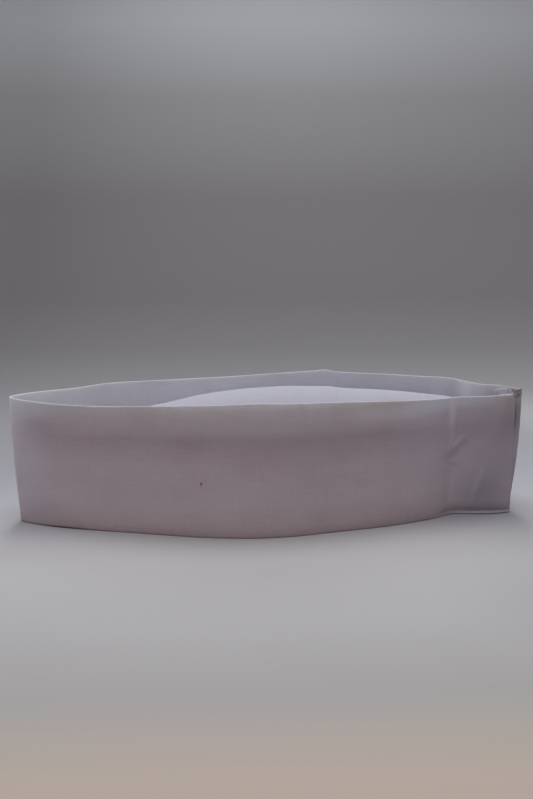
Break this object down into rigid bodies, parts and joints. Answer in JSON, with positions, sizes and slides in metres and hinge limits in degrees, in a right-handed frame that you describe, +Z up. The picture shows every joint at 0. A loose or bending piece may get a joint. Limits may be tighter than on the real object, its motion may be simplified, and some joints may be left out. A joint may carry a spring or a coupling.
{
  "type": "gandhi cap",
  "caption": "Long pointed side cap of white cotton, open at its rim, with a tall turned-up cuff round an arched crown, folded at one end and seamed at the other.",
  "frame": {"origin": "middle of the cap's box as seen from above, on the surface that the rim stands on", "axes": "+X from the folded end to the seamed end, +Y from the near wall to the far wall, +Z up"},
  "size_m": [0.2856, 0.0764, 0.0751],
  "materials": {
    "cuff_cotton": "matt plain weave, white",
    "band_cotton": "matt plain weave, white",
    "crown_cotton": "matt plain weave, white"
  },
  "bodies": {
    "root": {"outer_cuff": "cuff_cotton", "inner_band": "band_cotton", "crown": "crown_cotton", "seam_allowance": "band_cotton"}
  },
  "joints": []
}
